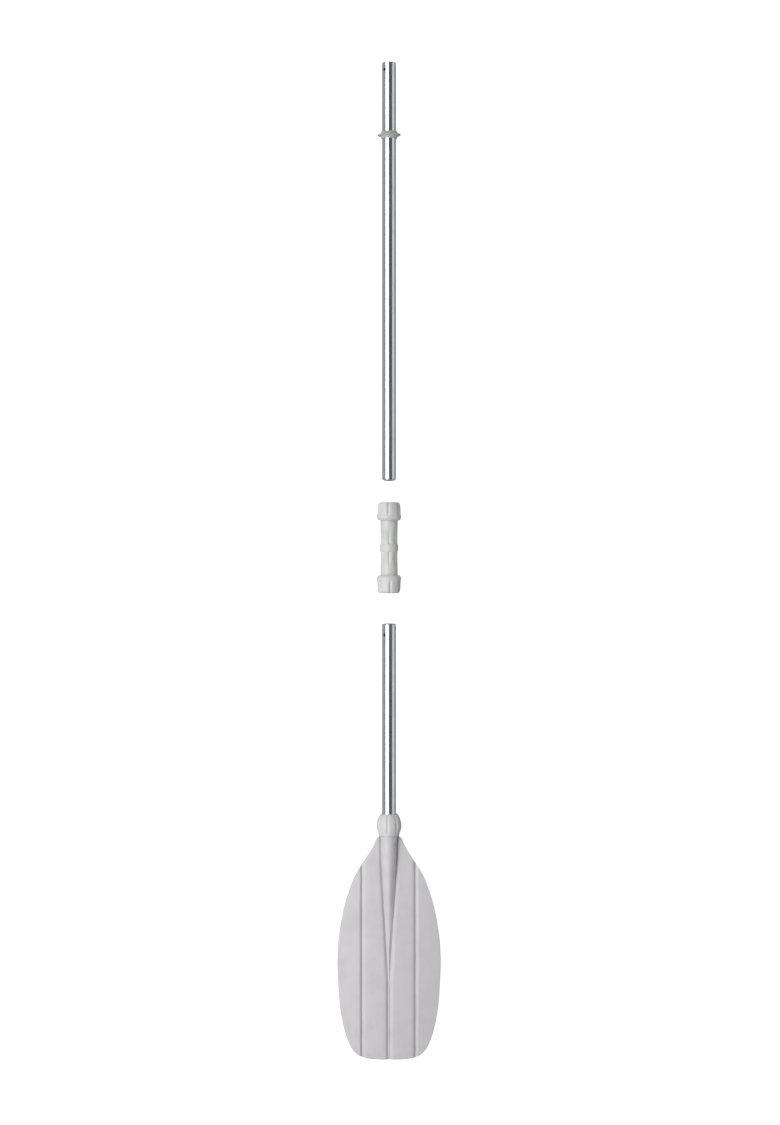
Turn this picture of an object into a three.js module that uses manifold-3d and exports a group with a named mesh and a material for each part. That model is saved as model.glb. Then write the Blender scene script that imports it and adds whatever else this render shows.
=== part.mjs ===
// A take-apart rowing oar for an inflatable boat, laid out in line on a flat surface.
//
// Two round aluminium tubes, a moulded blade and a plastic connector. Each tube is clamped by a
// screw nut that presses a split ring into a cone, and sealed at its ends by plastic plugs.
// The pieces lie apart along one axis, in the order in which they go together.
//
// Millimetres. +Y runs along the oar towards the handle end, +X across the blade, +Z up.
// The origin is on the surface, under the middle of the whole layout.

import * as THREE from "three";
import { mergeVertices } from "three/addons/utils/BufferGeometryUtils.js";
import Module from "manifold-3d";

const wasm = await Module();
wasm.setup();

// ---- Driving dimensions ------------------------------------------------------------------------

const AXIS_HEIGHT = 25; // height of the common axis above the surface
const GAP = 0.3; // between pieces that touch

// Lengths along the axis, from the blade's tip to the handle end.
const BLADE_LENGTH = 452;
const BLADE_NUT_LENGTH = 43;
const LOWER_TUBE_SHOWING = 381;
const LOWER_GAP = 60;
const CONNECTOR_LENGTH = 182;
const UPPER_GAP = 42;
const UPPER_TUBE_LENGTH = 838; // with its two plugs

const TUBE_RADIUS = 14;
const TUBE_WALL = 1.5;
const TUBE_SEGMENTS = 24;

// The clamp that all three nuts share. Depths are measured inwards from the nut's outer face.
const NUT_LENGTH = 36;
const END_WALL = 3.5;
const NUT_HOLE_RADIUS = 14.6;
const WASHER_THICKNESS = 2;
const WASHER_RADIUS = 17.6;
const RING_BORE_RADIUS = 14.35;
const RING_DEPTH = [6.1, 11, 24]; // outer end, where the taper starts, inner end
const RING_RADII = [16.1, 15.2]; // outside, at the thick and the thin end
const RING_SLIT = 3;
const MOUTH_DEPTH = 10.5; // the socket's end face
const CONE_DEPTH = 24.5; // the cone's inner end
const CONE_RADII = [16.4, 15.5];
const SOCKET_RADIUS = 14.4;
const THREAD = { pitch: 6, from: 13.5, to: 28.5, core: 17.7, crest: 18.8 };
const NUT_BORE_RADIUS = 18.2;
const SKIRT_RADIUS = 19.5;
const SKIRT_DEPTH = 30;

// Connector sleeve, symmetric about its middle.
const BARREL_RADIUS = 17.3;
const BELT_RADIUS = 18.2;
const STOP_HALF_WIDTH = 2; // the web that stops both tubes
const STOP_HOLE_RADIUS = 9;
const BARREL_FLUTES = 8;

// Blade. Heights are from the oar's axis.
const SHEET_THICKNESS = 3.2;
const SHEET_AT_NECK = -3;
const SHEET_AT_TIP = -17.6;
const CAMBER = 6; // how far the side edges droop
const HALF_WIDTH = 103.5;
const SIDE_GROOVE_X = 53.5;
const GROOVE = { depth: 4.2, flat: 0.8, reach: 6.0 };
const SPINE_START = 160; // where the spine rises from the sheet, from the tip
const SPINE_FULL = 411; // where it is as wide as the tube's socket
const SPINE_HALF_WIDTHS = [1.4, 15.5]; // at its start and at the socket
const SPINE_TOP = 19.1; // its crest above the sheet at the socket
const SPINE_UNDER = 13.4;
const SOCKET_FLOOR = 410;

// Oar collar on the upper tube.
const COLLAR_FROM_END = 145.6;
const COLLAR_LENGTH = 14;
const COLLAR_RADIUS = 23.4;

// Plugs.
const PLUG_RADIUS = TUBE_RADIUS - TUBE_WALL - GAP;
const PLUG_HEAD = 1.7;
const DOME = 5;
const FOOT_SHANK = 30;
const HANDLE_SHANK = 7; // ends short of the drilled hole
const LOWER_SHANK = 12;

// The hole drilled through one wall of each tube near its upper end.
const HOLE_RADIUS = 3.2;
const HOLE_TURN = THREE.MathUtils.degToRad(-40); // from straight up towards -X
const HANDLE_HOLE_DEPTH = 14; // from the tube's end
const LOWER_HOLE_DEPTH = 21;

// ---- Places along the axis ---------------------------------------------------------------------

const TOTAL_LENGTH =
  BLADE_LENGTH + BLADE_NUT_LENGTH + LOWER_TUBE_SHOWING + LOWER_GAP +
  CONNECTOR_LENGTH + UPPER_GAP + UPPER_TUBE_LENGTH;
const TIP_Y = -TOTAL_LENGTH / 2;
const BLADE_NUT_Y = TIP_Y + BLADE_LENGTH + BLADE_NUT_LENGTH; // outer face of the blade's nut
const LOWER_TUBE_TOP_Y = BLADE_NUT_Y + LOWER_TUBE_SHOWING;
const LOWER_TUBE_FOOT_Y = TIP_Y + SOCKET_FLOOR + 1;
const CONNECTOR_LOW_Y = LOWER_TUBE_TOP_Y + LOWER_GAP;
const CONNECTOR_HIGH_Y = CONNECTOR_LOW_Y + CONNECTOR_LENGTH;
const UPPER_TUBE_FOOT_Y = CONNECTOR_HIGH_Y + UPPER_GAP;
const HANDLE_END_Y = TOTAL_LENGTH / 2;

// ---- Materials ---------------------------------------------------------------------------------

const material = (color, roughness, metalness) =>
  new THREE.MeshStandardMaterial({ color, roughness, metalness });

const aluminium = material(0xc9cdcf, 0.22, 1);
const bladePlastic = material(0xcac8cb, 0.45, 0);
const nutPlastic = material(0xd9d6d2, 0.4, 0);
const sleevePlastic = material(0xd4d5cc, 0.4, 0);
const collarRubber = material(0xc8c8bc, 0.6, 0);
const plugPlastic = material(0x9a9c9c, 0.55, 0);
const ringNylon = material(0xe6e2d8, 0.4, 0);

// ---- Solids ------------------------------------------------------------------------------------

// A closed geometry as a manifold solid, facing out whichever way its outline was drawn.
function solid(geometry) {
  const bare = geometry.index ? geometry.toNonIndexed() : geometry.clone();
  bare.deleteAttribute("normal");
  bare.deleteAttribute("uv");
  const merged = mergeVertices(bare, 1e-4);
  const corners = [];
  for (let i = 0; i < merged.index.count; i += 3) {
    const [a, b, c] = [0, 1, 2].map((k) => merged.index.array[i + k]);
    if (a !== b && b !== c && c !== a) corners.push([a, b, c]);
  }
  const build = (triangles) =>
    new wasm.Manifold(
      new wasm.Mesh({
        numProp: 3,
        vertProperties: new Float32Array(merged.attributes.position.array),
        triVerts: new Uint32Array(triangles.flat()),
      }),
    );
  const made = build(corners);
  return made.volume() > 0 ? made : build(corners.map(([a, b, c]) => [a, c, b]));
}

// A manifold solid as a named mesh.
function piece(name, shape, finish) {
  const { numProp, vertProperties, triVerts } = shape.getMesh();
  const count = vertProperties.length / numProp;
  const positions = new Float32Array(count * 3);
  for (let i = 0; i < count; i++) {
    positions.set(vertProperties.subarray(i * numProp, i * numProp + 3), i * 3);
  }
  const geometry = new THREE.BufferGeometry()
    .setAttribute("position", new THREE.BufferAttribute(positions, 3))
    .setIndex(new THREE.BufferAttribute(triVerts, 1));
  geometry.computeVertexNormals();
  const mesh = new THREE.Mesh(geometry, finish);
  mesh.name = name;
  return mesh;
}

// An outline of [radius, y] points turned about the Y axis.
function turned(outline, segments, start = 0) {
  const points = outline.map(([r, y]) => new THREE.Vector2(r, y));
  return new THREE.LatheGeometry(points, segments, start);
}

// The same for a ring, whose outline closes on itself off the axis.
const ring = (outline, segments) => turned([...outline, outline[0]], segments);

// Moves each vertex of a turned shape inwards by depth(y) where the flutes are.
function fluted(geometry, flutes, start, depth) {
  const position = geometry.getAttribute("position");
  for (let i = 0; i < position.count; i++) {
    const [x, y, z] = [position.getX(i), position.getY(i), position.getZ(i)];
    const radius = Math.hypot(x, z);
    if (radius < TUBE_RADIUS) continue;
    const wave = Math.max(0, Math.cos(flutes * (Math.atan2(x, z) - start)));
    const scale = 1 - (depth(y) * wave ** 2) / radius;
    position.setXYZ(i, x * scale, y, z * scale);
  }
  return geometry;
}

// A cylinder standing out from the axis, for a hole through a tube's wall.
function radialPin(radius, inner, outer, turn) {
  return new THREE.CylinderGeometry(radius, radius, outer - inner, 12)
    .rotateX(Math.PI / 2)
    .translate(0, 0, (inner + outer) / 2)
    .rotateY(turn);
}

// ---- The screw clamp ---------------------------------------------------------------------------
// In its own frame the nut's outer face is at y = 0 and the socket lies below it, towards -Y.

const THREAD_SEGMENTS = 16; // in one turn
const THREAD_HALF_WIDTHS = [1.9, 0.9]; // at the core and at the crest
const THREAD_CLEARANCE = 0.5; // along the axis, so that the facets pass each other
const GROOVE_CREST = THREAD.crest + 0.7;

// A right-hand helical ridge: a trapezium swept from depth `from` to depth `to`.
function helix(from, to, inner, crest, widen) {
  const turns = (to - from) / THREAD.pitch;
  const steps = Math.round(turns * THREAD_SEGMENTS);
  const [wide, narrow] = THREAD_HALF_WIDTHS.map((w) => w + widen);
  const section = [[inner, -wide], [crest, -narrow], [crest, narrow], [inner, wide]];
  const vertices = [];
  const faces = [];
  for (let i = 0; i <= steps; i++) {
    const y = -to + (i / steps) * (to - from);
    const angle = ((y + THREAD.from) / THREAD.pitch) * 2 * Math.PI;
    for (const [r, dy] of section) {
      vertices.push(r * Math.sin(angle), y + dy, r * Math.cos(angle));
    }
  }
  for (let i = 0; i < steps; i++) {
    for (let k = 0; k < 4; k++) {
      const a = 4 * i + k;
      const b = 4 * i + ((k + 1) % 4);
      faces.push(a, b, b + 4, a, b + 4, a + 4);
    }
  }
  const last = 4 * steps;
  faces.push(0, 2, 1, 0, 3, 2, last, last + 1, last + 2, last, last + 2, last + 3);
  return new THREE.BufferGeometry()
    .setAttribute("position", new THREE.Float32BufferAttribute(vertices, 3))
    .setIndex(faces);
}

// What the clamp adds to and takes from the end of a socket, whose bore ends at boreDepth.
function socketEnd(boreDepth) {
  const thread = helix(THREAD.from, THREAD.to, THREAD.core - 0.5, THREAD.crest, 0);
  const outside = MOUTH_DEPTH - 2; // past the end face, so that the cut is clean
  const cut = turned(
    [
      [0, -outside],
      [CONE_RADII[0], -outside],
      [CONE_RADII[0], -MOUTH_DEPTH],
      [CONE_RADII[1], -CONE_DEPTH],
      [SOCKET_RADIUS, -CONE_DEPTH - 0.5],
      [SOCKET_RADIUS, -boreDepth],
      [0, -boreDepth],
    ],
    TUBE_SEGMENTS,
  );
  return { thread, cut };
}

// A nut from its outside outline of [radius, depth] points. Its flutes are { count, start,
// depth, fade }, where start is the first one's angle and fade the distance at which they end.
function nut(outline, length, flutes) {
  const outside = [[0, 0], ...outline.map(([r, depth]) => [r, -depth]), [0, -length]];
  const body = fluted(
    turned(outside, flutes.count * 4, flutes.start),
    flutes.count,
    flutes.start,
    (y) => flutes.depth * THREE.MathUtils.smoothstep(y, -flutes.fade, -flutes.fade / 2),
  );
  const hollow = turned(
    [
      [0, 1],
      [NUT_HOLE_RADIUS, 1],
      [NUT_HOLE_RADIUS, -END_WALL],
      [NUT_BORE_RADIUS, -END_WALL],
      [NUT_BORE_RADIUS, -SKIRT_DEPTH + 1],
      [SKIRT_RADIUS, -SKIRT_DEPTH],
      [SKIRT_RADIUS, -length - 1],
      [0, -length - 1],
    ],
    TUBE_SEGMENTS,
  );
  const groove = helix(
    THREAD.from - 3, SKIRT_DEPTH + 1.5, NUT_BORE_RADIUS - 0.6, GROOVE_CREST, THREAD_CLEARANCE,
  );
  return solid(body).subtract(solid(hollow)).subtract(solid(groove));
}

function washer() {
  const outer = -END_WALL - GAP;
  const inner = outer - WASHER_THICKNESS;
  const bore = NUT_HOLE_RADIUS + 0.1;
  return solid(
    ring([[bore, inner], [WASHER_RADIUS, inner], [WASHER_RADIUS, outer], [bore, outer]], 24),
  );
}

function gripRing() {
  const [outer, taper, inner] = RING_DEPTH.map((depth) => -depth);
  const [thick, thin] = RING_RADII;
  const whole = ring(
    [[RING_BORE_RADIUS, inner], [thin, inner], [thick, taper], [thick, outer],
      [RING_BORE_RADIUS, outer]],
    TUBE_SEGMENTS,
  );
  const slit = new THREE.BoxGeometry(RING_SLIT, 2 * RING_DEPTH[2], 2 * TUBE_RADIUS)
    .translate(0, -RING_DEPTH[2], -TUBE_RADIUS);
  return solid(whole).subtract(solid(slit));
}

// ---- Connector ---------------------------------------------------------------------------------

function connectorSleeve() {
  const half = CONNECTOR_LENGTH / 2;
  const endFace = half - MOUTH_DEPTH;
  const threadEnd = half - THREAD.to - 4;
  const side = [
    [BELT_RADIUS, 6],
    [BARREL_RADIUS, 9],
    [BARREL_RADIUS, 26],
    [BARREL_RADIUS, 44],
    [BARREL_RADIUS, threadEnd - 1],
    [THREAD.core, threadEnd],
    [THREAD.core, endFace - 1],
    [THREAD.core - 0.8, endFace],
  ];
  const outline = [
    [0, -endFace],
    ...side.map(([r, y]) => [r, -y]).reverse(),
    ...side,
    [0, endFace],
  ];
  const fluteDepth = (y) =>
    Math.abs(y) < 8 ? 0 : 1.1 * (1 - THREE.MathUtils.smoothstep(Math.abs(y), 10, 44));
  const body = fluted(turned(outline, BARREL_FLUTES * 4), BARREL_FLUTES, 0, fluteDepth);
  const boreDepth = half - STOP_HALF_WIDTH;
  let sleeve = solid(body);
  for (const turn of [0, Math.PI]) {
    const { thread, cut } = socketEnd(boreDepth);
    const toEnd = new THREE.Matrix4()
      .makeRotationZ(turn)
      .multiply(new THREE.Matrix4().makeTranslation(0, half, 0));
    sleeve = sleeve.add(solid(thread.applyMatrix4(toEnd)));
    sleeve = sleeve.subtract(solid(cut.applyMatrix4(toEnd)));
  }
  const stopHole = new THREE.CylinderGeometry(
    STOP_HOLE_RADIUS, STOP_HOLE_RADIUS, 4 * STOP_HALF_WIDTH, 24,
  );
  return sleeve.subtract(solid(stopHole));
}

// The connector's nut swells to a rim at its inner end.
const connectorNut = (start) =>
  nut(
    [[18.2, 0], [20.4, 1.6], [22, 4.5], [23, 10], [23.4, 25], [24.4, 28.5], [24.4, 32],
      [21.4, NUT_LENGTH]],
    NUT_LENGTH,
    { count: 6, start, depth: 1.9, fade: 27 },
  );

// The blade's nut is a fluted ball.
const bladeNut = () =>
  nut(
    [[16.6, 0], [18.2, 1.6], [20.4, 5.4], [22.4, 9.4], [24.2, 15.4], [25, 21.4], [25, 26],
      [23.9, 32], [20.3, BLADE_NUT_LENGTH]],
    BLADE_NUT_LENGTH,
    { count: 8, start: THREE.MathUtils.degToRad(-7), depth: 1.4, fade: 38 },
  );

// ---- Tubes, plugs and collar ---------------------------------------------------------------------

// A tube from y = 0 to its length, with its drilled hole at holeY.
function tube(length, holeY) {
  const inner = TUBE_RADIUS - TUBE_WALL;
  const wall = solid(
    ring([[inner, 0], [TUBE_RADIUS, 0], [TUBE_RADIUS, length], [inner, length]], TUBE_SEGMENTS),
  );
  const hole = radialPin(HOLE_RADIUS, inner - 3, TUBE_RADIUS + 3, HOLE_TURN);
  return wall.subtract(solid(hole.translate(0, holeY, 0)));
}

// A plug whose head closes the tube's end, and whose shank points towards -Y.
function flatPlug(shank) {
  return solid(
    turned(
      [[0, -shank], [PLUG_RADIUS - 1.5, -shank], [PLUG_RADIUS, -shank + 3], [PLUG_RADIUS, GAP],
        [TUBE_RADIUS - 0.2, GAP], [TUBE_RADIUS - 0.2, PLUG_HEAD - 0.6],
        [TUBE_RADIUS - 1, PLUG_HEAD + GAP], [0, PLUG_HEAD + GAP]],
      TUBE_SEGMENTS,
    ),
  );
}

// A plug with a domed head towards +Y that guides the tube into the connector.
function domedPlug() {
  const dome = [];
  for (let i = 0; i <= 5; i++) {
    const angle = (i / 5) * (Math.PI / 2);
    dome.push([(TUBE_RADIUS - 0.2) * Math.cos(angle), GAP + (DOME - GAP) * Math.sin(angle)]);
  }
  dome[dome.length - 1][0] = 0;
  return solid(
    turned(
      [[0, -FOOT_SHANK], [PLUG_RADIUS - 1.5, -FOOT_SHANK], [PLUG_RADIUS, -FOOT_SHANK + 3],
        [PLUG_RADIUS, GAP], ...dome],
      TUBE_SEGMENTS,
    ),
  );
}

// The collar is a short hub with a thin brim round its middle.
function oarCollar() {
  const hub = 16.4;
  const half = COLLAR_LENGTH / 2;
  const bore = TUBE_RADIUS + GAP;
  return solid(
    ring(
      [[bore, -half], [hub - 0.8, -half], [hub, -half + 1.5], [hub + 1.2, -2.6], [21, -1.5],
        [COLLAR_RADIUS, -1.1], [COLLAR_RADIUS, 1.1], [21, 1.5], [hub + 1.2, 2.6],
        [hub, half - 1.5], [hub - 0.8, half], [bore, half]],
      TUBE_SEGMENTS,
    ),
  );
}

// ---- Blade ---------------------------------------------------------------------------------------
// In its own frame the tip's edge is at y = 0 and z = 0 is the oar's axis.

// Half of the blade's edge, from the middle of the tip to the neck.
const BLADE_EDGE = [
  [0, 0], [30, 0.6], [50, 3.6], [66, 11], [79, 29], [90.5, 62], [99, 108], [103, 170],
  [HALF_WIDTH, 212], [99.5, 258], [89, 313], [70, 368], [46, 407], [31.5, 431], [26, 444.5],
  [19, 451.5],
];

const sheetCentre = (y) => {
  const share = 1 - y / BLADE_LENGTH;
  return SHEET_AT_NECK + (SHEET_AT_TIP - SHEET_AT_NECK) * share ** 2;
};

// How far the spine has risen, from 0 at its start to 1 at the socket.
const spineRise = (y) =>
  THREE.MathUtils.clamp((y - SPINE_START) / (SPINE_FULL - SPINE_START), 0, 1);

// Half the distance between the two grooves that run beside the spine. Below the spine they
// are one groove.
function spineHalfWidth(y) {
  const [narrow, wide] = SPINE_HALF_WIDTHS;
  return narrow + (wide - narrow) * spineRise(y);
}

function grooveDepth(x, y) {
  const { depth, flat, reach } = GROOVE;
  const profile = (u) => depth * THREE.MathUtils.clamp((reach - u) / (reach - flat), 0, 1);
  const centre = profile(Math.abs(x) - spineHalfWidth(y));
  const side = profile(Math.abs(Math.abs(x) - SIDE_GROOVE_X));
  return Math.max(centre, side);
}

// Heights of the upper and the under side at a point of the blade.
function bladeHeights(x, y) {
  const middle = sheetCentre(y) - CAMBER * (x / HALF_WIDTH) ** 2;
  const sunk = middle - grooveDepth(x, y);
  const top = sunk + SHEET_THICKNESS / 2;
  const under = sunk - SHEET_THICKNESS / 2;
  const across = 1 - (x / spineHalfWidth(y)) ** 2;
  if (across <= 0 || y <= SPINE_START) return [top, under];
  const arch = spineRise(y) * Math.sqrt(across);
  const centre = sheetCentre(y);
  return [
    Math.max(top, centre - GROOVE.depth * (1 - spineRise(y)) + SPINE_TOP * arch),
    Math.min(under, centre - SPINE_UNDER * arch),
  ];
}

// Columns of the blade's grid at one distance from the tip, following its grooves.
function bladeColumns(y) {
  const spine = spineHalfWidth(y);
  const side = SIDE_GROOVE_X;
  const { flat, reach } = GROOVE;
  const right = [
    spine * 0.4, spine * 0.72, spine * 0.93, spine + flat, spine + reach, (spine + side) / 2,
    side - reach, side - flat, side + flat, side + reach, 82, HALF_WIDTH + 3,
  ];
  return [...right.map((x) => -x).reverse(), 0, ...right];
}

const BLADE_ROWS = [
  -3, 20, 50, 90, 125, SPINE_START, 200, 240, 275, 310, 345, 380, SPINE_FULL, 430,
  BLADE_LENGTH + 2,
];

// The corrugated sheet with its spine, over a rectangle that is larger than the blade.
function bladeBlank() {
  const columns = bladeColumns(0).length;
  const rows = BLADE_ROWS.length;
  const vertices = [];
  for (const side of [0, 1]) {
    for (const y of BLADE_ROWS) {
      for (const x of bladeColumns(y)) vertices.push(x, y, bladeHeights(x, y)[side]);
    }
  }
  const at = (side, row, column) => (side * rows + row) * columns + column;
  const faces = [];
  const quad = (a, b, c, d) => faces.push(a, b, c, a, c, d);
  for (let r = 0; r < rows - 1; r++) {
    for (let c = 0; c < columns - 1; c++) {
      quad(at(0, r, c), at(0, r, c + 1), at(0, r + 1, c + 1), at(0, r + 1, c));
      quad(at(1, r, c), at(1, r + 1, c), at(1, r + 1, c + 1), at(1, r, c + 1));
    }
    const right = columns - 1;
    quad(at(0, r + 1, 0), at(1, r + 1, 0), at(1, r, 0), at(0, r, 0));
    quad(at(0, r, right), at(1, r, right), at(1, r + 1, right), at(0, r + 1, right));
  }
  for (let c = 0; c < columns - 1; c++) {
    const top = rows - 1;
    quad(at(0, 0, c), at(1, 0, c), at(1, 0, c + 1), at(0, 0, c + 1));
    quad(at(0, top, c + 1), at(1, top, c + 1), at(1, top, c), at(0, top, c));
  }
  return new THREE.BufferGeometry()
    .setAttribute("position", new THREE.Float32BufferAttribute(vertices, 3))
    .setIndex(faces);
}

function bladeOutline() {
  const right = BLADE_EDGE.map(([x, y]) => new THREE.Vector2(x, y));
  const left = BLADE_EDGE.slice(1).map(([x, y]) => new THREE.Vector2(-x, y)).reverse();
  const edge = new THREE.SplineCurve([...left, ...right]).getPoints(2 * (right.length + 13));
  return new THREE.ExtrudeGeometry(new THREE.Shape(edge), {
    depth: 80,
    bevelEnabled: false,
  }).translate(0, 0, -40);
}

function blade() {
  const nutFace = BLADE_LENGTH + BLADE_NUT_LENGTH;
  const neckTop = nutFace - MOUTH_DEPTH;
  const neck = turned(
    [[0, 440], [16.4, 440], [THREAD.core, 449], [THREAD.core, neckTop - 1],
      [THREAD.core - 0.8, neckTop], [0, neckTop]],
    TUBE_SEGMENTS,
  );
  const { thread, cut } = socketEnd(nutFace - SOCKET_FLOOR);
  return solid(bladeBlank())
    .intersect(solid(bladeOutline()))
    .add(solid(neck))
    .add(solid(thread.translate(0, nutFace, 0)))
    .subtract(solid(cut.translate(0, nutFace, 0)));
}

// ---- The oar, piece by piece -----------------------------------------------------------------------

const oar = new THREE.Group();
const line = new THREE.Group(); // the common axis
line.position.z = AXIS_HEIGHT;
oar.add(line);

// Puts pieces at a place on the axis, and turns them end for end if flipped.
function place(y, pieces, flipped = false) {
  const group = new THREE.Group();
  group.position.y = y;
  if (flipped) group.rotation.z = Math.PI;
  group.add(...pieces);
  line.add(group);
}

place(TIP_Y, [piece("blade", blade(), bladePlastic)]);
place(BLADE_NUT_Y, [
  piece("blade_nut", bladeNut(), nutPlastic),
  piece("blade_nut_washer", washer(), ringNylon),
  piece("blade_grip_ring", gripRing(), ringNylon),
]);

const lowerTubeEnd = LOWER_TUBE_TOP_Y - PLUG_HEAD - GAP;
const lowerTubeStart = LOWER_TUBE_FOOT_Y + PLUG_HEAD + GAP;
const lowerTubeLength = lowerTubeEnd - lowerTubeStart;
place(lowerTubeStart, [
  piece("lower_tube", tube(lowerTubeLength, lowerTubeLength - LOWER_HOLE_DEPTH), aluminium),
]);
place(lowerTubeEnd, [piece("lower_tube_head_plug", flatPlug(LOWER_SHANK), plugPlastic)]);
place(lowerTubeStart, [piece("lower_tube_foot_plug", flatPlug(FOOT_SHANK), plugPlastic)], true);

place((CONNECTOR_LOW_Y + CONNECTOR_HIGH_Y) / 2, [
  piece("connector_sleeve", connectorSleeve(), sleevePlastic),
]);
const LOWER_NUT_FLUTE = THREE.MathUtils.degToRad(-7);
const UPPER_NUT_FLUTE = THREE.MathUtils.degToRad(-3);
place(
  CONNECTOR_LOW_Y,
  [
    piece("lower_nut", connectorNut(LOWER_NUT_FLUTE), nutPlastic),
    piece("lower_nut_washer", washer(), ringNylon),
    piece("lower_grip_ring", gripRing(), ringNylon),
  ],
  true,
);
place(CONNECTOR_HIGH_Y, [
  piece("upper_nut", connectorNut(UPPER_NUT_FLUTE), nutPlastic),
  piece("upper_nut_washer", washer(), ringNylon),
  piece("upper_grip_ring", gripRing(), ringNylon),
]);

const upperTubeStart = UPPER_TUBE_FOOT_Y + DOME;
const upperTubeEnd = HANDLE_END_Y - PLUG_HEAD - GAP;
const upperTubeLength = upperTubeEnd - upperTubeStart;
place(upperTubeStart, [
  piece("upper_tube", tube(upperTubeLength, upperTubeLength - HANDLE_HOLE_DEPTH), aluminium),
]);
place(upperTubeStart, [piece("upper_tube_foot_plug", domedPlug(), aluminium)], true);
place(upperTubeEnd, [piece("handle_end_plug", flatPlug(HANDLE_SHANK), plugPlastic)]);
place(HANDLE_END_Y - COLLAR_FROM_END, [piece("oar_collar", oarCollar(), collarRubber)]);

export default oar;
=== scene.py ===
import math

import bmesh
import bpy
import numpy as np
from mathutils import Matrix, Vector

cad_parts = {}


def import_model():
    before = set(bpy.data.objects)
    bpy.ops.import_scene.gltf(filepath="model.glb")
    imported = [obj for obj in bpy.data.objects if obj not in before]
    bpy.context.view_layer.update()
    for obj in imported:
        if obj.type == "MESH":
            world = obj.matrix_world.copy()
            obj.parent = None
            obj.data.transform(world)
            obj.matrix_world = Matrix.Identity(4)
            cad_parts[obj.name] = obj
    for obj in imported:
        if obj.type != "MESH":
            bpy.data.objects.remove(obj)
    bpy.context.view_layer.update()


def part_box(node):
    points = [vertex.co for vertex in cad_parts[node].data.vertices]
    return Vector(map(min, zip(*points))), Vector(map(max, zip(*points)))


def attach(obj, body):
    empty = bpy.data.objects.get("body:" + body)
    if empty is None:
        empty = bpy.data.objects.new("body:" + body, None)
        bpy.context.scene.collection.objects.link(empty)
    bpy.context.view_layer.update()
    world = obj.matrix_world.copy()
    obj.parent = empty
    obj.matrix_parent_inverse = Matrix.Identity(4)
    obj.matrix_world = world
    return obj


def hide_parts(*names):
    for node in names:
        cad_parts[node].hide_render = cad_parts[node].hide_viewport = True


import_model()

# Shapes are worked out in millimetres about the oar's axis and made in metres. Each piece has the
# CAD node's own place, read from the frame.
MM = 0.001
TURN = 2 * math.pi

BLADE_BOX = [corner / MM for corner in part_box("blade")]
BLADE_NUT_BOX = [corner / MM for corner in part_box("blade_nut")]
LOWER_NUT_BOX = [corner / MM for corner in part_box("lower_nut")]
UPPER_NUT_BOX = [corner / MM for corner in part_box("upper_nut")]
LOWER_TUBE_BOX = [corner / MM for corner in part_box("lower_tube")]
UPPER_TUBE_BOX = [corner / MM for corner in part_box("upper_tube")]
COLLAR_BOX = [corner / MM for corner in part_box("oar_collar")]

TIP_Y = BLADE_BOX[0].y
AXIS_HEIGHT = (UPPER_TUBE_BOX[0].z + UPPER_TUBE_BOX[1].z) / 2

TUBE_RADIUS = 14
TUBE_WALL = 1.5
HOLE_RADIUS = 3.2
HOLE_TURN = math.radians(-40)
LOWER_HOLE_DEPTH = 21
HANDLE_HOLE_DEPTH = 14
PLUG_GAP = 0.3
FLAT_DOME = 1.6
ROUND_DOME = 4.6

END_WALL = 3.5
NUT_HOLE_RADIUS = 14.6
NUT_BORE_RADIUS = 18.2
SKIRT_RADIUS = 19.5
SKIRT_DEPTH = 30
MOUTH_DEPTH = 10.5
CONE_DEPTH = 24.5
CONE_RADII = (16.4, 15.5)
SOCKET_RADIUS = 14.4
THREAD_PITCH = 6
THREAD_FROM = 13.5
THREAD_TO = 28.5
THREAD_CORE = 17.7
THREAD_CREST = 18.8
THREAD_HALF_WIDTH = 1.9
THREAD_FLANK = 1.0
THREAD_PLAY = 0.3
GROOVE_FROM = 10
GROOVE_RISE = 1.25
BARREL_RADIUS = 17.3
BELT_RADIUS = 18.2
WEB_HOLE_RADIUS = 9

BLADE_LENGTH = 452
BLADE_NUT_LENGTH = 43
SHEET_THICKNESS = 3.2
SHEET_AT_NECK = -3
SHEET_DROP = 14.6
CAMBER = 6
HALF_WIDTH = 103.5
SIDE_GROOVE_X = 53.5
GROOVE_DEPTH = 4.2
GROOVE_REACH = 4.8
GROOVE_FLAT = 0.4
SPINE_START = 160
SPINE_FULL = 411
SPINE_TOP = 19.1
SPINE_UNDER = 13.4
SPINE_HALF_WIDTHS = (1.4, 15.5)
SOCKET_FLOOR = 410


def smoothstep(value, low, high):
    share = np.clip((value - low) / (high - low), 0, 1)
    return share * share * (3 - 2 * share)


# ---- Materials -----------------------------------------------------------------------------------


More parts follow.
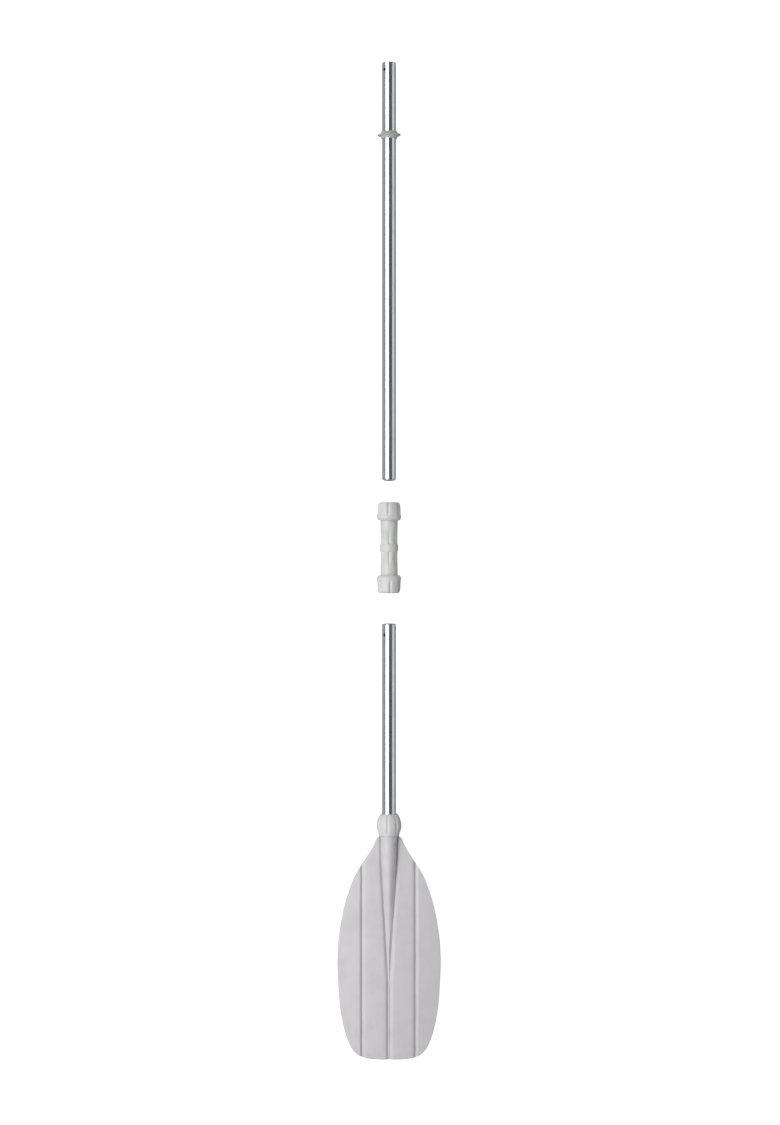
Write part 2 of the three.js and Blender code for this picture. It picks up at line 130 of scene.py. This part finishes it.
class Surface:
    """A node material on a Principled shader, built up one layer of detail at a time."""

    def __init__(self, name, color, roughness, metallic=0.0):
        self.material = bpy.data.materials.new(name)
        self.material.use_nodes = True
        self.nodes = self.material.node_tree.nodes
        self.links = self.material.node_tree.links
        self.shader = self.nodes["Principled BSDF"]
        self.shader.inputs["Metallic"].default_value = metallic
        self.color = color
        self.roughness = roughness
        self.place = self.nodes.new("ShaderNodeTexCoord").outputs["Object"]
        self.height = None

    def noise(self, size_mm, stretch=(1, 1, 1), detail=4.0, roughness=0.55):
        """Noise whose blotches are about size_mm wide, longer along the axes with a low stretch."""
        mapping = self.nodes.new("ShaderNodeMapping")
        mapping.inputs["Scale"].default_value = stretch
        noise = self.nodes.new("ShaderNodeTexNoise")
        noise.inputs["Scale"].default_value = 1 / (size_mm * MM)
        noise.inputs["Detail"].default_value = detail
        noise.inputs["Roughness"].default_value = roughness
        self.links.new(self.place, mapping.inputs["Vector"])
        self.links.new(mapping.outputs["Vector"], noise.inputs["Vector"])
        return noise.outputs["Fac"]

    def ramp(self, source, low, high, to_low=0.0, to_high=1.0):
        node = self.nodes.new("ShaderNodeMapRange")
        node.interpolation_type = "SMOOTHSTEP"
        node.inputs["From Min"].default_value = low
        node.inputs["From Max"].default_value = high
        node.inputs["To Min"].default_value = to_low
        node.inputs["To Max"].default_value = to_high
        self.links.new(source, node.inputs["Value"])
        return node.outputs["Result"]

    def times(self, first, second):
        node = self.nodes.new("ShaderNodeMath")
        node.operation = "MULTIPLY"
        self.links.new(first, node.inputs[0])
        self.links.new(second, node.inputs[1])
        return node.outputs["Value"]

    def tint(self, mask, color):
        """Blends the base colour towards another where the mask is high."""
        node = self.nodes.new("ShaderNodeMix")
        node.data_type = "RGBA"
        sockets = {s.identifier: s for s in node.inputs}
        self.links.new(mask, sockets["Factor_Float"])
        if isinstance(self.color, bpy.types.NodeSocket):
            self.links.new(self.color, sockets["A_Color"])
        else:
            sockets["A_Color"].default_value = (*self.color, 1)
        sockets["B_Color"].default_value = (*color, 1)
        self.color = next(s for s in node.outputs if s.identifier == "Result_Color")

    def roughen(self, mask, low, high):
        self.roughness = self.ramp(mask, 0.3, 0.7, low, high)

    def bump(self, source, depth_mm, strength=1.0):
        node = self.nodes.new("ShaderNodeBump")
        node.inputs["Distance"].default_value = depth_mm * MM
        node.inputs["Strength"].default_value = strength
        self.links.new(source, node.inputs["Height"])
        if self.height is not None:
            self.links.new(self.height, node.inputs["Normal"])
        self.height = node.outputs["Normal"]

    def edges(self, low=0.52, high=0.62):
        """High on convex edges."""
        geometry = self.nodes.new("ShaderNodeNewGeometry")
        return self.ramp(geometry.outputs["Pointiness"], low, high)

    def along(self, low_mm, high_mm):
        """0 at low_mm along the oar's length and 1 at high_mm."""
        split = self.nodes.new("ShaderNodeSeparateXYZ")
        self.links.new(self.place, split.inputs["Vector"])
        return self.ramp(split.outputs["Y"], low_mm * MM, high_mm * MM)

    def finish(self):
        for name, value in (("Base Color", self.color), ("Roughness", self.roughness)):
            if isinstance(value, bpy.types.NodeSocket):
                self.links.new(value, self.shader.inputs[name])
            elif name == "Roughness":
                self.shader.inputs[name].default_value = value
            else:
                self.shader.inputs[name].default_value = (*value, 1)
        if self.height is not None:
            self.links.new(self.height, self.shader.inputs["Normal"])
        return self.material


def aluminium():
    surface = Surface("drawn_aluminium", (0.80, 0.83, 0.84), 0.2, metallic=1.0)
    die_lines = surface.noise(0.6, stretch=(1, 0.012, 1), detail=6)
    smudges = surface.noise(28, stretch=(1, 0.35, 1), detail=5)
    surface.tint(surface.ramp(smudges, 0.45, 0.75), (0.72, 0.75, 0.77))
    scratches = surface.noise(1.4, stretch=(1, 0.05, 1), detail=2)
    surface.tint(surface.ramp(scratches, 0.68, 0.74), (0.62, 0.65, 0.67))
    surface.roughen(smudges, 0.15, 0.27)
    surface.bump(die_lines, 0.008, 0.4)
    surface.bump(scratches, 0.005, 0.3)
    return surface.finish()


def moulded(name, color, shade, worn, roughness, grain_mm=0.7):
    """Moulded plastic: uneven colour, fine texture, and pale rubbed edges."""
    surface = Surface(name, color, roughness)
    cloud = surface.noise(35, detail=5)
    surface.tint(surface.ramp(cloud, 0.4, 0.72), shade)
    scuffs = surface.noise(5, stretch=(1, 0.35, 1), detail=6, roughness=0.7)
    surface.tint(surface.times(surface.edges(), surface.ramp(scuffs, 0.4, 0.62)), worn)
    surface.roughen(cloud, roughness - 0.05, roughness + 0.1)
    surface.bump(surface.noise(grain_mm, detail=3), 0.05, 0.45)
    surface.bump(surface.noise(9, detail=2), 0.12, 0.3)
    return surface


def blade_plastic():
    surface = moulded(
        "blade_plastic", (0.70, 0.668, 0.675), (0.66, 0.632, 0.642), (0.81, 0.785, 0.78), 0.42, 1.1
    )
    flow = surface.noise(20, stretch=(1, 0.18, 1), detail=5)
    surface.tint(surface.ramp(flow, 0.5, 0.8), (0.73, 0.698, 0.702))
    grit = surface.noise(2.2, stretch=(1, 0.25, 1), detail=5, roughness=0.7)
    near_tip = surface.along(TIP_Y + 140, TIP_Y)
    rubbed = surface.times(near_tip, surface.ramp(grit, 0.6, 0.72))
    surface.tint(rubbed, (0.53, 0.52, 0.52))
    surface.bump(rubbed, -0.08, 0.6)
    return surface.finish()


def soft_ring():
    surface = Surface("collar_soft_plastic", (0.54, 0.55, 0.49), 0.6)
    surface.tint(surface.ramp(surface.noise(7, detail=5), 0.4, 0.7), (0.46, 0.47, 0.42))
    surface.tint(surface.times(surface.edges(), surface.noise(2)), (0.72, 0.72, 0.66))
    surface.roughen(surface.noise(4), 0.5, 0.7)
    surface.bump(surface.noise(0.5, detail=3), 0.06, 0.6)
    return surface.finish()


ALUMINIUM = aluminium()
BLADE_PLASTIC = blade_plastic()
NUT_PLASTIC = moulded(
    "nut_plastic", (0.74, 0.71, 0.70), (0.68, 0.665, 0.64), (0.84, 0.82, 0.79), 0.36
).finish()
SLEEVE_PLASTIC = moulded(
    "sleeve_plastic", (0.71, 0.70, 0.65), (0.65, 0.65, 0.60), (0.82, 0.80, 0.74), 0.38
).finish()
PLUG_PLASTIC = moulded(
    "plug_plastic", (0.42, 0.43, 0.43), (0.36, 0.37, 0.37), (0.55, 0.55, 0.54), 0.5
).finish()
RING_NYLON = moulded(
    "ring_nylon", (0.78, 0.75, 0.67), (0.72, 0.69, 0.61), (0.86, 0.84, 0.78), 0.35, 0.4
).finish()
COLLAR_PLASTIC = soft_ring()


# ---- Meshes --------------------------------------------------------------------------------------


def add_piece(name, vertices, faces, finish, sharp_deg=38):
    """A mesh object from millimetres about the oar's axis, closed and facing out."""
    mesh = bpy.data.meshes.new(name)
    placed = (np.asarray(vertices, float) + (0, 0, AXIS_HEIGHT)) * MM
    mesh.from_pydata(placed.tolist(), [], faces)
    shape = bmesh.new()
    shape.from_mesh(mesh)
    bmesh.ops.remove_doubles(shape, verts=shape.verts, dist=1e-7)
    bmesh.ops.dissolve_degenerate(shape, edges=shape.edges, dist=1e-8)
    bmesh.ops.recalc_face_normals(shape, faces=shape.faces)
    shape.to_mesh(mesh)
    shape.free()
    mesh.materials.append(finish)
    piece = bpy.data.objects.new(name, mesh)
    bpy.context.scene.collection.objects.link(piece)
    shade(piece, sharp_deg)
    return piece


def shade(piece, sharp_deg):
    piece.data.shade_smooth()
    piece.data.set_sharp_from_angle(angle=math.radians(sharp_deg))


def combine(piece, other, operation):
    """Joins or cuts one piece by another, and removes the other."""
    modifier = piece.modifiers.new("combine", "BOOLEAN")
    modifier.operation = operation
    modifier.object = other
    modifier.solver = "MANIFOLD"
    with bpy.context.temp_override(object=piece, active_object=piece):
        bpy.ops.object.modifier_apply(modifier=modifier.name)
    bpy.data.objects.remove(other)


def stands_for(piece, node, body):
    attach(piece, body)
    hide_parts(node)


def fillet(outline, radius, steps=4, closed=False):
    """The outline with its corners rounded, none by more than 45% of the sides beside it."""
    points = [np.array(p, float) for p in outline]
    rounded = []
    for i, corner in enumerate(points):
        if not closed and i in (0, len(points) - 1):
            rounded.append(corner)
            continue
        before = points[i - 1] - corner
        after = points[(i + 1) % len(points)] - corner
        reach = min(radius, 0.45 * np.linalg.norm(before), 0.45 * np.linalg.norm(after))
        start = corner + before / np.linalg.norm(before) * reach
        end = corner + after / np.linalg.norm(after) * reach
        for t in np.linspace(0, 1, steps + 1):
            rounded.append((1 - t) ** 2 * start + 2 * t * (1 - t) * corner + t ** 2 * end)
    return rounded


def refine(outline, longest, closed=False):
    """The outline with its long sides divided."""
    points = list(outline) + ([outline[0]] if closed else [])
    fine = []
    for here, there in zip(points, points[1:]):
        count = max(1, math.ceil(np.linalg.norm(there - here) / longest))
        fine += [here + (there - here) * k / count for k in range(count)]
    return fine if closed else fine + [points[-1]]


def revolve(name, outline, finish, segments=128, shape=None, y0=0.0, flipped=False, arc=None):
    """Turns an outline of (radius, y) about the axis. It closes on itself, or starts and ends on
    the axis. shape(radius, y, angle) may change the radius. arc is (first, last) angle for a ring
    that is slit. Angle 0 is straight up."""
    first, last = arc or (0, TURN)
    count = segments + 1 if arc else segments
    angles = first + (last - first) * np.arange(count) / segments
    radii, lengths = np.array(outline, float).T
    angle, radius = np.meshgrid(angles, radii)
    y = np.broadcast_to(lengths[:, None], angle.shape)
    if shape:
        radius = shape(radius, y, angle)
    x = radius * np.sin(angle)
    z = radius * np.cos(angle)
    side = -1 if flipped else 1
    vertices = np.stack([side * x, y0 + side * y, z], -1).reshape(-1, 3)
    rows = len(radii)
    on_axis = radii[0] == 0 and radii[-1] == 0
    faces = []
    for i in range(rows - 1 if on_axis else rows):
        below, above = i * count, ((i + 1) % rows) * count
        for k in range(segments):
            after = (k + 1) % count
            faces.append((below + k, below + after, above + after, above + k))
    if arc:
        faces.append([i * count for i in range(rows)])
        faces.append([i * count + segments for i in reversed(range(rows))])
    return add_piece(name, vertices, faces, finish)


def lobes(angle, count, start, sharpness):
    """1 in the middle of each flute and 0 between them."""
    return np.maximum(0, np.cos(count * (angle - start))) ** sharpness


def thread(y, angle, widen=0.0):
    """How far a point is up the thread's ridge, from 0 to 1. y is 0 at the nut's outer face."""
    phase = ((y + THREAD_FROM) / THREAD_PITCH - angle / TURN) % 1
    distance = np.minimum(phase, 1 - phase) * THREAD_PITCH
    return np.clip((THREAD_HALF_WIDTH + widen - distance) / THREAD_FLANK, 0, 1)


# ---- Nuts, washers and rings -----------------------------------------------------------------------


def nut(name, outer, flutes, y0, flipped):
    """outer is (radius, distance from the outer face). flutes is (count, start angle, depth,
    sharpness, distance at which they end)."""
    count, start, depth, sharpness, fade = flutes
    length = outer[-1][1]
    outside = [(r, -d) for r, d in outer]
    inside = [
        (SKIRT_RADIUS, -length), (SKIRT_RADIUS, -SKIRT_DEPTH), (NUT_BORE_RADIUS, -SKIRT_DEPTH + 1),
        (NUT_BORE_RADIUS, -END_WALL), (NUT_HOLE_RADIUS, -END_WALL), (NUT_HOLE_RADIUS, 0),
    ]
    outline = refine(fillet(outside + inside, 1.1, closed=True), 0.8, closed=True)
    # The outline runs down the outside, turns in at the open end and comes back up the bore.
    points = np.array(outline)
    turn_in = np.argmin(np.linalg.norm(points - (SKIRT_RADIUS, -length), axis=1))
    in_bore = (np.arange(len(points)) >= turn_in) & (points[:, 1] < -GROOVE_FROM)
    outside_or_face = (np.arange(len(points)) < turn_in) | (points[:, 1] > -0.05)

    def shape(radius, y, angle):
        toward_open_end = smoothstep(y, -fade, -fade * 0.75)
        clear_of_hole = np.clip((radius - NUT_HOLE_RADIUS - 0.3) / 3, 0, 1)
        flute = depth * lobes(angle, count, start, sharpness) * toward_open_end * clear_of_hole
        run_in = smoothstep(-y, GROOVE_FROM, GROOVE_FROM + 1)
        groove = NUT_BORE_RADIUS + GROOVE_RISE * thread(y, angle, THREAD_PLAY) * run_in
        fluted = np.where(outside_or_face[:, None], radius - flute, radius)
        return np.where(in_bore[:, None], np.maximum(radius, groove), fluted)

    return revolve(name, outline, NUT_PLASTIC, 192, shape, y0, flipped)


def washer(name, y0, flipped):
    bore, rim = NUT_HOLE_RADIUS + 0.1, 17.6
    near, far = END_WALL + 0.3, END_WALL + 2.3
    outline = [(bore, -near), (bore, -far), (rim, -far), (rim, -near)]
    return revolve(
        name, fillet(outline, 0.35, closed=True), RING_NYLON, 96, None, y0, flipped
    )


def grip_ring(name, y0, flipped):
    outline = [(14.35, -24), (15.2, -24), (16.1, -11), (16.1, -6.1), (14.35, -6.1)]
    slit = math.asin(1.5 / 15)
    arc = (-math.pi + slit, math.pi - slit)
    return revolve(name, fillet(outline, 0.3, closed=True), RING_NYLON, 96, None, y0, flipped, arc)


CONNECTOR_NUT = [
    (18.2, 0), (20.4, 1.3), (22, 4.2), (22.9, 9), (23.2, 17), (23.4, 25), (24.4, 28.5), (24.4, 31.6),
    (22.6, 34), (21.4, 36),
]
BALL_NUT = [
    (16.6, 0), (18.2, 1.6), (20.4, 5.4), (22.4, 9.8), (24.1, 15.4), (25, 21.4), (25, 26), (24, 31),
    (22.6, 35.5), (21, 39.5), (20.3, 43),
]


def clamps():
    places = {
        "upper": (UPPER_NUT_BOX[1].y, False, CONNECTOR_NUT, (6, math.radians(-3), 2.1, 5, 29)),
        "lower": (LOWER_NUT_BOX[0].y, True, CONNECTOR_NUT, (6, math.radians(-7), 2.1, 5, 29)),
        "blade": (BLADE_NUT_BOX[1].y, False, BALL_NUT, (8, math.radians(-7), 1.5, 3, 41)),
    }
    for name, (y0, flipped, outer, flutes) in places.items():
        node = f"{name}_nut"
        stands_for(nut("fine_" + node, outer, flutes, y0, flipped), node, node)
        node = f"{name}_nut_washer"
        stands_for(washer("fine_" + node, y0, flipped), node, f"{name}_rings")
        node = f"{name}_grip_ring"
        stands_for(grip_ring("fine_" + node, y0, flipped), node, f"{name}_rings")


# ---- Connector sleeve ------------------------------------------------------------------------------


def sleeve():
    low, high = LOWER_NUT_BOX[0].y, UPPER_NUT_BOX[1].y
    half = (high - low) / 2
    first_flute = math.radians(1.5)
    end_face = half - MOUTH_DEPTH
    thread_end = half - THREAD_TO - 4
    outer = [
        (BELT_RADIUS, 0), (BELT_RADIUS, 5.6), (BARREL_RADIUS, 7.6), (BARREL_RADIUS, thread_end - 1),
        (THREAD_CORE, thread_end), (THREAD_CORE, end_face - 1), (THREAD_CORE - 0.8, end_face),
    ]
    inner = [
        (CONE_RADII[0], end_face), (CONE_RADII[1], half - CONE_DEPTH),
        (SOCKET_RADIUS, half - CONE_DEPTH - 0.5), (SOCKET_RADIUS, 2), (WEB_HOLE_RADIUS, 2),
        (WEB_HOLE_RADIUS, 0),
    ]
    quarter = outer + inner
    mirrored = [(r, -y) for r, y in reversed(quarter[1:-1])]
    outline = refine(fillet(quarter + mirrored, 0.6, closed=True), 0.8, closed=True)

    def shape(radius, y, angle):
        away = np.abs(y)
        fade = (1 - smoothstep(away, 14, 47)) * smoothstep(away, 7, 9)
        flute = 2.1 * fade * lobes(angle, 8, first_flute, 2)
        plank = 0.25 * fade * np.cos(16 * (angle - first_flute))
        toward_end = np.where(y > 0, angle, -angle)
        on_thread = smoothstep(away, thread_end + 1, thread_end + 4) * (
            1 - smoothstep(away, end_face - 4, end_face - 2)
        )
        ridge = (THREAD_CREST - THREAD_CORE) * thread(away - half, toward_end) * on_thread
        outside = radius > CONE_RADII[0] + 0.2
        return np.where(outside, radius - flute + plank + ridge, radius)

    made = revolve("fine_connector_sleeve", outline, SLEEVE_PLASTIC, 192, shape, (low + high) / 2)
    stands_for(made, "connector_sleeve", "connector")


# ---- Tubes, plugs and collar -------------------------------------------------------------------------


def tube(node, box, hole_depth):
    low, high = box[0].y, box[1].y
    inner = TUBE_RADIUS - TUBE_WALL
    hole_y = high - hole_depth
    rows = [low, low + 2, hole_y - 5, hole_y + 5, high - 2, high]
    outline = [(inner, y) for y in reversed(rows)] + [(TUBE_RADIUS, y) for y in rows]
    made = revolve("fine_" + node, fillet(outline, 0.35, 3, closed=True), ALUMINIUM)
    count = 48
    turn = TURN * np.arange(count) / count
    across, along = HOLE_RADIUS * np.cos(turn), HOLE_RADIUS * np.sin(turn)
    rings = []
    for out in (inner - 3, TUBE_RADIUS + 3):
        x = across * math.cos(HOLE_TURN) + out * math.sin(HOLE_TURN)
        z = -across * math.sin(HOLE_TURN) + out * math.cos(HOLE_TURN)
        rings.append(np.stack([x, hole_y + along, z], -1))
    faces = [(k, (k + 1) % count, count + (k + 1) % count, count + k) for k in range(count)]
    faces += [list(range(count)), list(range(2 * count - 1, count - 1, -1))]
    combine(made, add_piece("drill", np.concatenate(rings), faces, ALUMINIUM), "DIFFERENCE")
    shade(made, 38)
    stands_for(made, node, node)


def plug(node, body, end_y, side, dome, finish):
    """A plug closing a tube at end_y. side is 1 where its head faces +Y. dome is its height."""
    low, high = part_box(node)
    shank = (high.y - low.y) / MM - dome - PLUG_GAP
    radius = TUBE_RADIUS - TUBE_WALL - PLUG_GAP
    head = TUBE_RADIUS - 0.2
    quarter = np.linspace(0, math.pi / 2, 12)
    crown = [(head * math.cos(a), PLUG_GAP + dome * math.sin(a) ** 0.8) for a in quarter[:-1]]
    outline = [
        (0, -shank), (radius - 1.5, -shank), (radius, -shank + 3), (radius, PLUG_GAP), *crown,
        (0, PLUG_GAP + dome),
    ]
    points = fillet(outline, 0.3, 2)
    made = revolve("fine_" + node, points, finish, 96, None, end_y, side < 0)
    stands_for(made, node, body)


def plugs():
    lower, upper = LOWER_TUBE_BOX, UPPER_TUBE_BOX
    flat_plugs = [
        ("lower_tube_head_plug", "lower_tube", lower[1].y, 1),
        ("lower_tube_foot_plug", "lower_tube", lower[0].y, -1),
        ("handle_end_plug", "upper_tube", upper[1].y, 1),
    ]
    for node, body, end_y, side in flat_plugs:
        plug(node, body, end_y, side, FLAT_DOME, PLUG_PLASTIC)
    foot = "upper_tube_foot_plug"
    plug(foot, "upper_tube", upper[0].y, -1, ROUND_DOME, ALUMINIUM)


def collar():
    bore, hub, rim, half = TUBE_RADIUS + 0.3, 16.4, 23.4, 7
    outline = [
        (bore, -half), (hub - 0.8, -half), (hub, -half + 1.5), (hub + 1.2, -2.6), (20.5, -1.4),
        (rim, -1.1), (rim, 1.1), (20.5, 1.4), (hub + 1.2, 2.6), (hub, half - 1.5),
        (hub - 0.8, half), (bore, half),
    ]
    middle = (COLLAR_BOX[0].y + COLLAR_BOX[1].y) / 2
    made = revolve(
        "fine_oar_collar", fillet(outline, 0.6, 4, closed=True), COLLAR_PLASTIC, 128, None, middle
    )
    for vertex in made.data.vertices:
        x, z = vertex.co.x / MM, vertex.co.z / MM - AXIS_HEIGHT
        reach = max(0, (math.hypot(x, z) - hub) / (rim - hub))
        vertex.co.y += reach ** 2 * (0.55 * x / rim + 0.1 * math.sin(3 * math.atan2(x, z))) * MM
    stands_for(made, "oar_collar", "collar")


# ---- Blade -------------------------------------------------------------------------------------------
# y is the distance from the blade's tip here, and z is the height above the oar's axis.

BLADE_EDGE = [
    (0, 0), (30, 0.6), (50, 3.6), (66, 11), (79, 29), (90.5, 62), (99, 108), (103, 170),
    (HALF_WIDTH, 212), (99.5, 258), (89, 313), (70, 368), (46, 407), (31.5, 431), (26, 444.5),
    (19, 451.5),
]


def blade_outline():
    """Finely spaced points of the right-hand edge, on a Catmull-Rom curve."""
    points = [(-30, 0.6), *BLADE_EDGE, (12, 462)]
    points = np.array(points, float)
    fine = []
    for a, b, c, d in zip(points, points[1:], points[2:], points[3:]):
        for t in np.linspace(0, 1, 24, endpoint=False):
            fine.append(
                0.5 * (2 * b + (c - a) * t + (2 * a - 5 * b + 4 * c - d) * t ** 2
                       + (3 * b - a - 3 * c + d) * t ** 3)
            )
    fine.append(points[-2])
    return np.array(fine)


def sheet_centre(y):
    return SHEET_AT_NECK - SHEET_DROP * (1 - y / BLADE_LENGTH) ** 2


def spine_rise(y):
    return np.clip((y - SPINE_START) / (SPINE_FULL - SPINE_START), 0, 1)


def spine_half_width(y):
    narrow, wide = SPINE_HALF_WIDTHS
    return narrow + (wide - narrow) * spine_rise(y)


def groove_depth(x, y):
    def profile(distance):
        share = np.clip((distance - GROOVE_FLAT) / (GROOVE_REACH - GROOVE_FLAT), 0, 1)
        return GROOVE_DEPTH * (1 - 0.7 * share - 0.3 * smoothstep(share, 0, 1))

    centre = profile(np.abs(np.abs(x) - spine_half_width(y)))
    side = profile(np.abs(np.abs(x) - SIDE_GROOVE_X))
    return np.maximum(centre, side)


def blade_heights(x, y, edge_distance):
    """Heights of the upper and the under side. The edge is rounded over half the thickness."""
    half = SHEET_THICKNESS / 2
    inward = np.clip(edge_distance / half, 0, 1)
    thickness = half * np.sqrt(1 - (1 - inward) ** 2)
    centre = sheet_centre(y)
    sunk = centre - CAMBER * (x / HALF_WIDTH) ** 2 - groove_depth(x, y)
    across = 1 - (x / spine_half_width(y)) ** 2
    rise = spine_rise(y)
    # The spine is a half ellipse over the socket, and flattens to a low parabola towards the tip.
    arch = rise ** 1.8 * np.maximum(0, across) ** (1 - 0.5 * smoothstep(y, 330, 408))
    on_spine = (across > 0) & (y > SPINE_START)
    crest = centre - GROOVE_DEPTH * (1 - rise) + SPINE_TOP * arch
    keel = centre - SPINE_UNDER * arch
    top = np.where(on_spine, np.maximum(sunk + thickness, crest), sunk + thickness)
    under = np.where(on_spine, np.minimum(sunk - thickness, keel), sunk - thickness)
    return top, under


def bands(y, edge_x, rim):
    """Distances from the middle of the blade's columns at one row, which follow its grooves."""
    spine = spine_half_width(y)
    limits = [
        0, spine, spine + GROOVE_REACH, SIDE_GROOVE_X - GROOVE_REACH, SIDE_GROOVE_X,
        SIDE_GROOVE_X + GROOVE_REACH, edge_x,
    ]
    counts = [16, 10, 10, 9, 9, 14]
    inside = edge_x - rim[-1] * 1.1
    columns = []
    for low, high, count in zip(limits, limits[1:], counts):
        share = np.arange(count) / count
        if low == 0:
            share = np.sin(share * math.pi / 2)
        columns += list(np.minimum(low + (high - low) * share, inside))
    return np.array(columns[1:] + list(edge_x - rim[::-1]))


def blade_sheet():
    outline = blade_outline()
    tip_rows = 30 * np.linspace(0, 1, 40) ** 2
    rows = np.concatenate([tip_rows[1:], np.arange(32, BLADE_LENGTH - 1, 2.0), [BLADE_LENGTH - 0.6]])
    edge_x = np.interp(rows, outline[:, 1], outline[:, 0])
    rim = np.array([0, 0.08, 0.25, 0.5, 0.85, 1.3, 2.0])
    x = []
    for y, edge in zip(rows, edge_x):
        half_row = bands(y, edge, rim * min(1, edge / 8))
        x.append(np.concatenate([-half_row[::-1], [0], half_row]))
    x = np.array(x)
    y = np.broadcast_to(rows[:, None], x.shape)
    distance = np.full(x.shape, 99.0)
    near = (np.abs(x) > edge_x[:, None] - 6) | (y < 40)
    points = np.stack([np.abs(x[near]), y[near]], -1)
    nearest = np.empty(len(points))
    for start in range(0, len(points), 4000):
        chunk = points[start:start + 4000]
        nearest[start:start + 4000] = np.sqrt(
            ((chunk[:, None, :] - outline[None, :, :]) ** 2).sum(-1).min(1)
        )
    distance[near] = nearest
    distance[:, 0] = 0
    distance[:, -1] = 0
    top, under = blade_heights(x, y, distance)
    count = x.shape[1]
    size = x.size
    vertices = np.concatenate([
        np.stack([x, y, top], -1).reshape(-1, 3),
        np.stack([x, y, under], -1).reshape(-1, 3),
    ])
    faces = []
    for r in range(len(rows) - 1):
        for c in range(count - 1):
            a = r * count + c
            faces.append((a, a + 1, a + count + 1, a + count))
            faces.append((size + a, size + a + count, size + a + count + 1, size + a + 1))
    for r in (0, len(rows) - 1):
        for c in range(count - 1):
            a = r * count + c
            faces.append((a, size + a, size + a + 1, a + 1))
    vertices[:, 1] += TIP_Y
    return add_piece("fine_blade", vertices, faces, BLADE_PLASTIC)


def blade_neck():
    """The threaded neck, solid."""
    face = BLADE_LENGTH + BLADE_NUT_LENGTH
    top = face - MOUTH_DEPTH
    outline = [
        (0, 436), (16.4, 436), (16.4, 440), (THREAD_CORE, 449), (THREAD_CORE, top - 1),
        (THREAD_CORE - 0.8, top), (0, top),
    ]
    points = refine(fillet(outline, 0.5), 0.8)

    def shape(radius, y, angle):
        on_thread = smoothstep(y, 464, 467) * (1 - smoothstep(y, top - 4, top - 2))
        ridge = (THREAD_CREST - THREAD_CORE) * thread(y - face, angle) * on_thread
        return np.where(radius > 15, radius + ridge, radius)

    return revolve("neck", points, BLADE_PLASTIC, 128, shape, TIP_Y)


def blade_bore():
    """What is cut out of the blade for the tube and the grip ring."""
    face = BLADE_LENGTH + BLADE_NUT_LENGTH
    outline = [
        (0, SOCKET_FLOOR), (SOCKET_RADIUS, SOCKET_FLOOR), (SOCKET_RADIUS, face - CONE_DEPTH - 0.5),
        (CONE_RADII[1], face - CONE_DEPTH), (CONE_RADII[0], face - MOUTH_DEPTH), (CONE_RADII[0], face),
        (0, face),
    ]
    points = [np.array(p) for p in outline]
    return revolve("bore", points, BLADE_PLASTIC, 128, None, TIP_Y)


def blade():
    made = blade_sheet()
    combine(made, blade_neck(), "UNION")
    combine(made, blade_bore(), "DIFFERENCE")
    shade(made, 50)
    stands_for(made, "blade", "blade")


# ---- Floor, light and camera -------------------------------------------------------------------------


def floor():
    bpy.ops.mesh.primitive_plane_add(size=14, location=(0, 0, -0.0005))
    plane = bpy.context.active_object
    plane.name = "floor"
    surface = Surface("pale_floor", (0.42, 0.42, 0.42), 0.9)
    surface.shader.inputs["Specular IOR Level"].default_value = 0.0
    surface.shader.inputs["Emission Color"].default_value = (1, 1, 1, 1)
    # The glow is for the camera only, so that it neither lights the oar nor shows in its metal.
    glow = surface.nodes.new("ShaderNodeLightPath").outputs["Is Camera Ray"]
    surface.links.new(glow, surface.shader.inputs["Emission Strength"])
    plane.data.materials.append(surface.finish())


def panel(name, centre, width, length, radiance, color=(1, 1, 1)):
    """A soft light, long in Y, that faces the oar's axis."""
    data = bpy.data.lights.new(name, "AREA")
    data.shape = "RECTANGLE"
    data.size = width
    data.size_y = length
    data.energy = radiance * math.pi * width * length
    data.color = color
    light = bpy.data.objects.new(name, data)
    light.location = centre
    light.rotation_euler = (0, math.atan2(centre[0], centre[2]), 0)
    light.visible_camera = False
    bpy.context.scene.collection.objects.link(light)


def world():
    made = bpy.data.worlds.new("studio")
    bpy.context.scene.world = made
    made.use_nodes = True
    nodes, links = made.node_tree.nodes, made.node_tree.links
    place = nodes.new("ShaderNodeTexCoord").outputs["Generated"]
    split = nodes.new("ShaderNodeSeparateXYZ")
    ramp = nodes.new("ShaderNodeValToRGB")
    ramp.color_ramp.elements[0].position = 0.1
    ramp.color_ramp.elements[0].color = (0.34, 0.35, 0.36, 1)
    ramp.color_ramp.elements[1].position = 0.55
    ramp.color_ramp.elements[1].color = (0.085, 0.105, 0.12, 1)
    links.new(place, split.inputs["Vector"])
    links.new(split.outputs["Z"], ramp.inputs["Fac"])
    links.new(ramp.outputs["Color"], nodes["Background"].inputs["Color"])
    nodes["Background"].inputs["Strength"].default_value = 1.0


def camera():
    """Straight down on the middle of the layout, from far off."""
    distance = 5.0
    view_height = 2.25
    data = bpy.data.cameras.new("camera")
    data.sensor_fit = "VERTICAL"
    data.sensor_height = 36
    data.lens = 36 * distance / view_height
    data.clip_end = 50
    made = bpy.data.objects.new("camera", data)
    made.location = (0.002, -0.0014, distance + AXIS_HEIGHT * MM)
    bpy.context.scene.collection.objects.link(made)
    bpy.context.scene.camera = made


camera()
floor()
world()
panel("softbox", (-1.15, 0, 1.85), 1.9, 4.5, 2.5)
panel("right_fill", (2.3, 0, 0.8), 1.5, 4.0, 0.56, (0.96, 0.98, 1.0))
bpy.context.scene.view_settings.view_transform = "Standard"

clamps()
sleeve()
tube("lower_tube", LOWER_TUBE_BOX, LOWER_HOLE_DEPTH)
tube("upper_tube", UPPER_TUBE_BOX, HANDLE_HOLE_DEPTH)
plugs()
collar()
blade()
